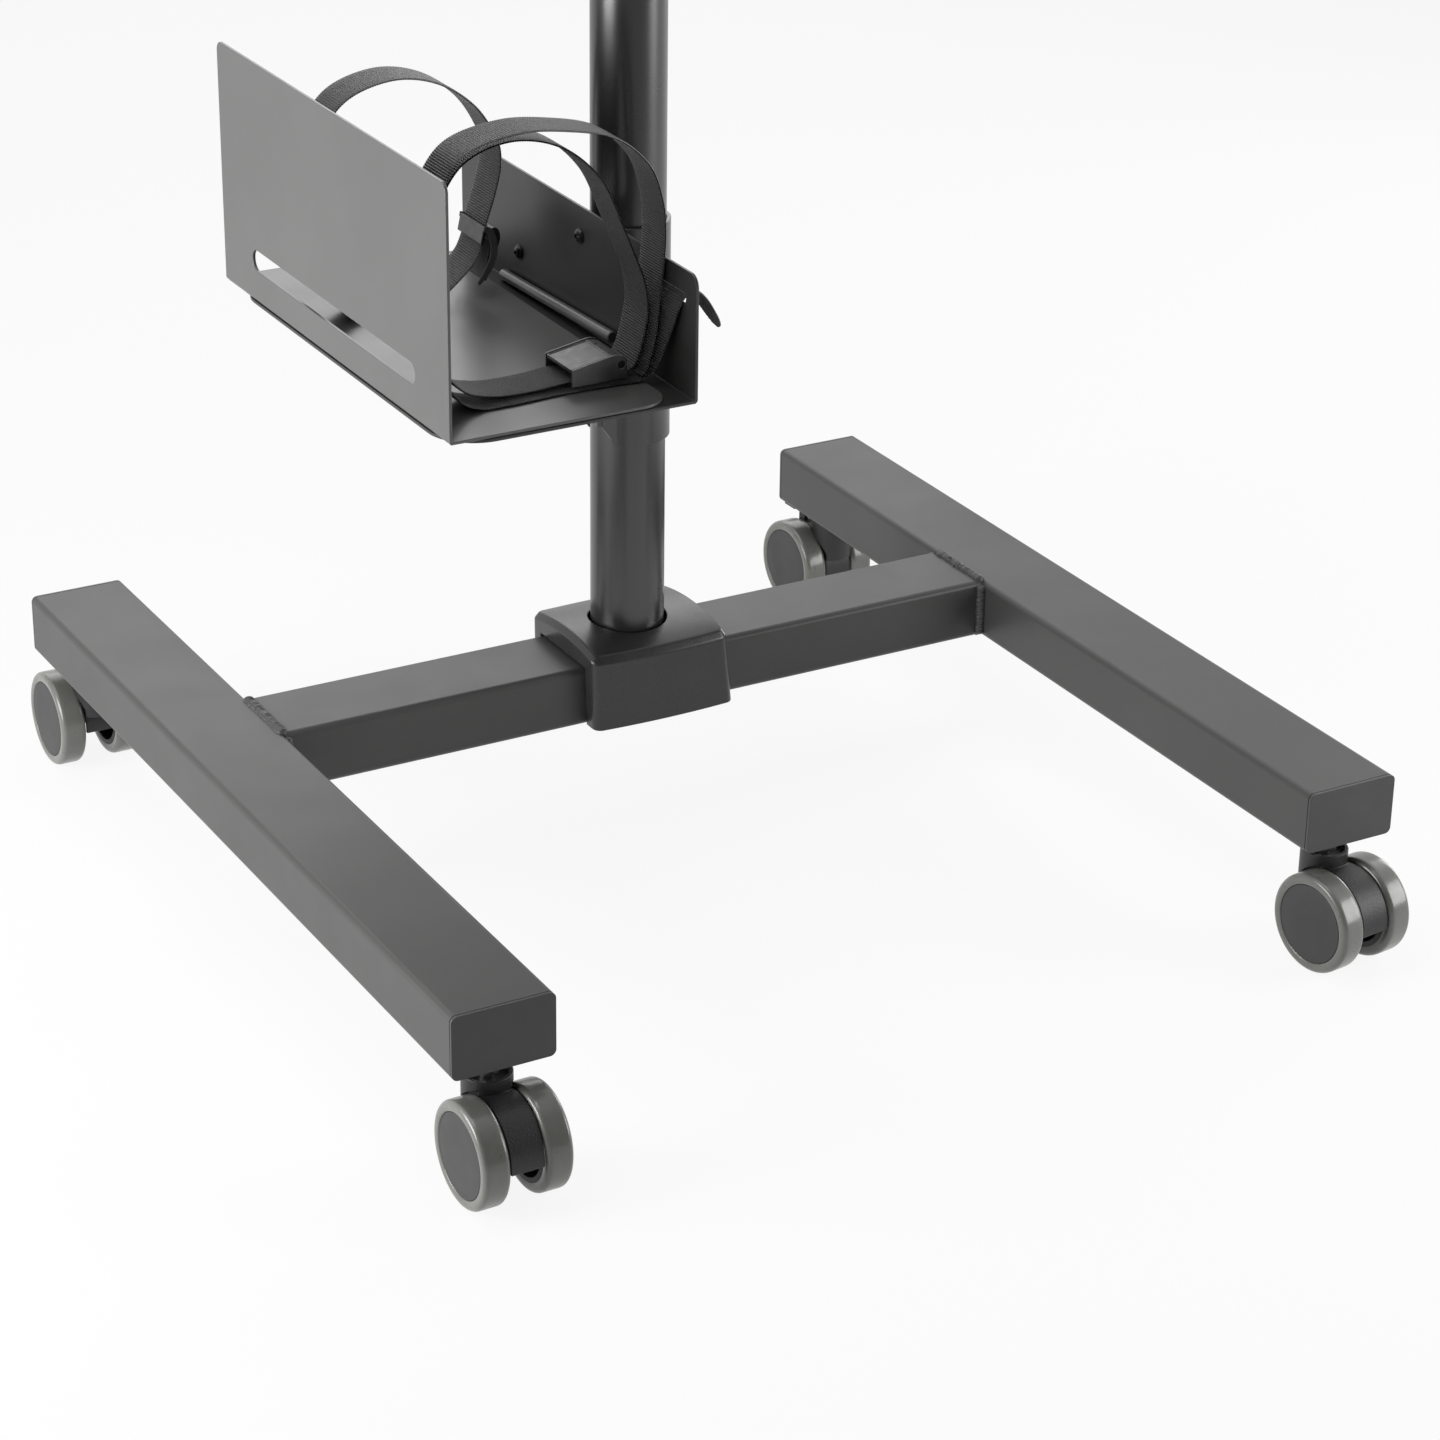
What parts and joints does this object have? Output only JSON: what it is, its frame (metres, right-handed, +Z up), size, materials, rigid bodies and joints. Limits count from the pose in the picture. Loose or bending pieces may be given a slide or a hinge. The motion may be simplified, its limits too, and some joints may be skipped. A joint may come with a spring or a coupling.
{
  "type": "mobile monitor stand",
  "caption": "Rolling H-frame stand with a round column, a strapped side holder for a small computer, and a height-adjustable tilting monitor plate.",
  "frame": {"origin": "on the floor at the middle of the base's footprint", "axes": "+X to the right seen from the front, -Y towards the front where the monitor plate faces, +Z up along the column"},
  "size_m": [0.8021, 0.8763, 1.503],
  "materials": {
    "frame_paint": "satin dark grey powder coat",
    "column_paint": "satin charcoal powder coat",
    "holder_paint": "satin charcoal powder coat on bent steel sheet",
    "plain_steel": "plain turned steel",
    "zinc": "bright zinc plate",
    "cap_plastic": "satin black plastic",
    "cover_plastic": "satin black moulded plastic",
    "caster_plastic": "grained black nylon",
    "hub_plastic": "matte dark grey nylon",
    "tread": "smooth warm grey polyurethane tread",
    "webbing": "ribbed black nylon webbing",
    "buckle_paint": "satin black coated zinc die casting",
    "black_screw": "black oxide"
  },
  "bodies": {
    "base": {"left_rail": "frame_paint", "right_rail": "frame_paint", "rail_end_caps": "cap_plastic", "crossbar": "frame_paint", "weld_beads": "frame_paint", "caster_sockets": "plain_steel", "caster_stems": "zinc", "column_tube": "column_paint", "column_foot_plug": "plain_steel", "column_foot_bolt": "zinc", "column_cover": "cover_plastic", "column_top_cap": "cap_plastic"},
    "front_left_swivel": {"front_left_fork": "caster_plastic", "front_left_axle": "zinc"},
    "front_left_outer_wheel": {"front_left_outer_hub": "hub_plastic", "front_left_outer_tread": "tread"},
    "front_left_inner_wheel": {"front_left_inner_hub": "hub_plastic", "front_left_inner_tread": "tread"},
    "front_right_swivel": {"front_right_fork": "caster_plastic", "front_right_axle": "zinc"},
    "front_right_outer_wheel": {"front_right_outer_hub": "hub_plastic", "front_right_outer_tread": "tread"},
    "front_right_inner_wheel": {"front_right_inner_hub": "hub_plastic", "front_right_inner_tread": "tread"},
    "rear_left_swivel": {"rear_left_fork": "caster_plastic", "rear_left_axle": "zinc"},
    "rear_left_outer_wheel": {"rear_left_outer_hub": "hub_plastic", "rear_left_outer_tread": "tread"},
    "rear_left_inner_wheel": {"rear_left_inner_hub": "hub_plastic", "rear_left_inner_tread": "tread"},
    "rear_left_pedal": {"rear_left_brake_pedal": "caster_plastic"},
    "rear_right_swivel": {"rear_right_fork": "caster_plastic", "rear_right_axle": "zinc"},
    "rear_right_outer_wheel": {"rear_right_outer_hub": "hub_plastic", "rear_right_outer_tread": "tread"},
    "rear_right_inner_wheel": {"rear_right_inner_hub": "hub_plastic", "rear_right_inner_tread": "tread"},
    "rear_right_pedal": {"rear_right_brake_pedal": "caster_plastic"},
    "holder": {"clamp_plate": "holder_paint", "clamp_saddle": "holder_paint", "clamp_strap": "holder_paint", "clamp_screws": "black_screw", "holder_right_plate": "holder_paint", "strap_rod": "holder_paint", "near_strap": "webbing", "near_strap_outer": "webbing", "near_strap_tail": "webbing", "near_buckle_frame": "buckle_paint", "far_strap": "webbing", "far_buckle_frame": "buckle_paint"},
    "holder_side": {"holder_left_plate": "holder_paint", "width_screws": "black_screw"},
    "near_lever": {"near_buckle_lever": "buckle_paint"},
    "far_lever": {"far_buckle_lever": "buckle_paint"},
    "head": {"head_collar": "holder_paint", "tilt_bolt": "zinc"},
    "head_knob": {"collar_knob": "cap_plastic"},
    "tilt_arm": {"tilt_knuckle": "holder_paint", "plate_screw": "zinc"},
    "screen_plate": {"monitor_plate": "holder_paint"}
  },
  "joints": [
    {"name": "front_left_swivel_turn", "type": "hinge", "parent": "base", "child": "front_left_swivel", "pos_m": [-0.36, -0.372, 0.09], "axis": [0, 0, 1], "continuous": true},
    {"name": "front_left_outer_roll", "type": "hinge", "parent": "front_left_swivel", "child": "front_left_outer_wheel", "pos_m": [-0.38408, -0.39642, 0.04], "axis": [0.9998, 0.0175, 0], "continuous": true},
    {"name": "front_left_inner_roll", "type": "hinge", "parent": "front_left_swivel", "child": "front_left_inner_wheel", "pos_m": [-0.33509, -0.39557, 0.04], "axis": [0.9998, 0.0175, 0], "continuous": true},
    {"name": "front_right_swivel_turn", "type": "hinge", "parent": "base", "child": "front_right_swivel", "pos_m": [0.36, -0.372, 0.09], "axis": [0, 0, 1], "continuous": true},
    {"name": "front_right_outer_roll", "type": "hinge", "parent": "front_right_swivel", "child": "front_right_outer_wheel", "pos_m": [0.38724, -0.39283, 0.04], "axis": [0.9925, 0.1219, 0], "continuous": true},
    {"name": "front_right_inner_roll", "type": "hinge", "parent": "front_right_swivel", "child": "front_right_inner_wheel", "pos_m": [0.33861, -0.39881, 0.04], "axis": [0.9925, 0.1219, 0], "continuous": true},
    {"name": "rear_left_swivel_turn", "type": "hinge", "parent": "base", "child": "rear_left_swivel", "pos_m": [-0.36, 0.372, 0.09], "axis": [0, 0, 1], "continuous": true},
    {"name": "rear_left_outer_roll", "type": "hinge", "parent": "rear_left_swivel", "child": "rear_left_outer_wheel", "pos_m": [-0.3845, 0.396, 0.04], "axis": [-1, 0, 0], "continuous": true},
    {"name": "rear_left_inner_roll", "type": "hinge", "parent": "rear_left_swivel", "child": "rear_left_inner_wheel", "pos_m": [-0.3355, 0.396, 0.04], "axis": [-1, 0, 0], "continuous": true},
    {"name": "rear_left_brake", "type": "hinge", "parent": "rear_left_swivel", "child": "rear_left_pedal", "pos_m": [-0.36, 0.405, 0.082], "axis": [-1, 0, 0], "range_deg": [0, 12]},
    {"name": "rear_right_swivel_turn", "type": "hinge", "parent": "base", "child": "rear_right_swivel", "pos_m": [0.36, 0.372, 0.09], "axis": [0, 0, 1], "continuous": true},
    {"name": "rear_right_outer_roll", "type": "hinge", "parent": "rear_right_swivel", "child": "rear_right_outer_wheel", "pos_m": [0.38365, 0.39684, 0.04], "axis": [-0.9994, -0.0349, 0], "continuous": true},
    {"name": "rear_right_inner_roll", "type": "hinge", "parent": "rear_right_swivel", "child": "rear_right_inner_wheel", "pos_m": [0.33468, 0.39513, 0.04], "axis": [-0.9994, -0.0349, 0], "continuous": true},
    {"name": "rear_right_brake", "type": "hinge", "parent": "rear_right_swivel", "child": "rear_right_pedal", "pos_m": [0.35885, 0.40498, 0.082], "axis": [-0.9994, -0.0349, 0], "range_deg": [0, 12]},
    {"name": "holder_height", "type": "slide", "parent": "base", "child": "holder", "axis": [0, 0, 1], "range_m": [-0.15, 0.25]},
    {"name": "holder_width", "type": "slide", "parent": "holder", "child": "holder_side", "axis": [-1, 0, 0], "range_m": [0, 0.06]},
    {"name": "near_buckle_open", "type": "hinge", "parent": "holder", "child": "near_lever", "pos_m": [-0.076, -0.013, 0.4452], "axis": [0, 1, 0], "range_deg": [0, 75]},
    {"name": "far_buckle_open", "type": "hinge", "parent": "holder", "child": "far_lever", "pos_m": [-0.07664, 0.197, 0.48397], "axis": [0, -1, 0], "range_deg": [0, 50]},
    {"name": "head_height", "type": "slide", "parent": "base", "child": "head", "axis": [0, 0, 1], "range_m": [-0.4, 0.08]},
    {"name": "head_knob_turn", "type": "hinge", "parent": "head", "child": "head_knob", "pos_m": [0, 0.146, 1.38], "axis": [1, 0, 0], "continuous": true},
    {"name": "tilt", "type": "hinge", "parent": "head", "child": "tilt_arm", "pos_m": [0, 0.037, 1.38], "axis": [1, 0, 0], "range_deg": [-20, 20]},
    {"name": "screen_turn", "type": "hinge", "parent": "tilt_arm", "child": "screen_plate", "pos_m": [0, 0.003, 1.38], "axis": [0, 1, 0], "range_deg": [-90, 90]}
  ]
}
